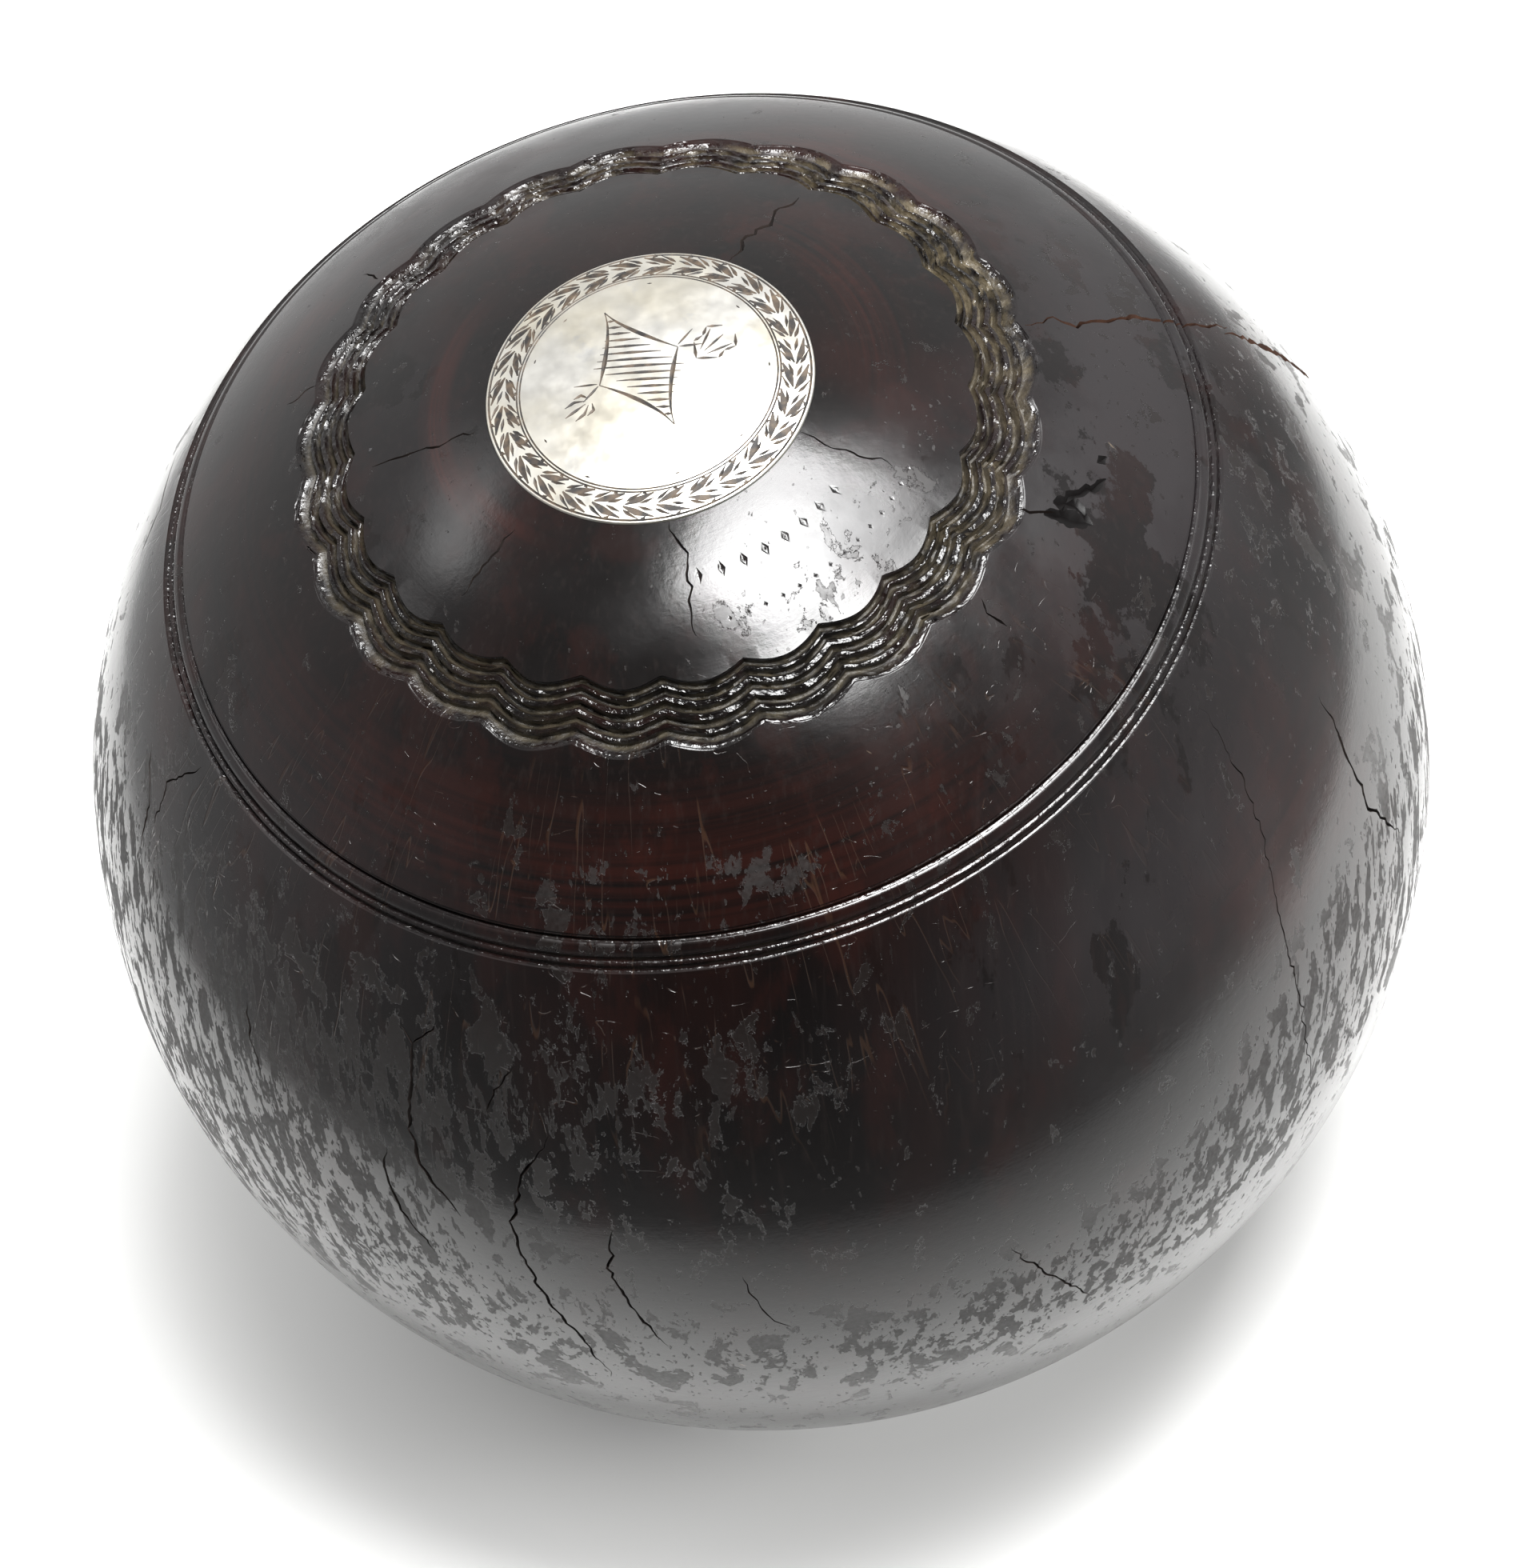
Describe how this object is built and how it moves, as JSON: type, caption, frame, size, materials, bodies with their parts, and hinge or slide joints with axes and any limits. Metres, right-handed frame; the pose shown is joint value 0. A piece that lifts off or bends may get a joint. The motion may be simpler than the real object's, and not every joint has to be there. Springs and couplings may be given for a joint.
{
  "type": "lawn bowl",
  "caption": "Turned dark hardwood lawn bowl with an engraved silver disc let into each side, scalloped carved bands round the discs and turned double rings.",
  "frame": {"origin": "the centre of the small disc's outer face, where the bowl rests on its bias side, at the bottom centre of the bounding box", "axes": "+Z runs from the small disc through the bowl to the large engraved disc, and the running surface goes round Z; +X passes through one of the scallops' cusps"},
  "size_m": [0.127, 0.127, 0.1226],
  "materials": {
    "lignum_vitae": "old varnish, polished and worn, over near-black lignum vitae",
    "silver": "warm silver, polished, engraved and lightly tarnished",
    "cement": "dark brown set shellac cement"
  },
  "bodies": {
    "root": {"bowl_body": "lignum_vitae", "large_disc": "silver", "large_disc_cement": "cement", "large_disc_pin_1": "silver", "large_disc_pin_2": "silver", "large_disc_pin_3": "silver", "small_disc": "silver", "small_disc_cement": "cement", "small_disc_pin_1": "silver", "small_disc_pin_2": "silver"}
  },
  "joints": []
}
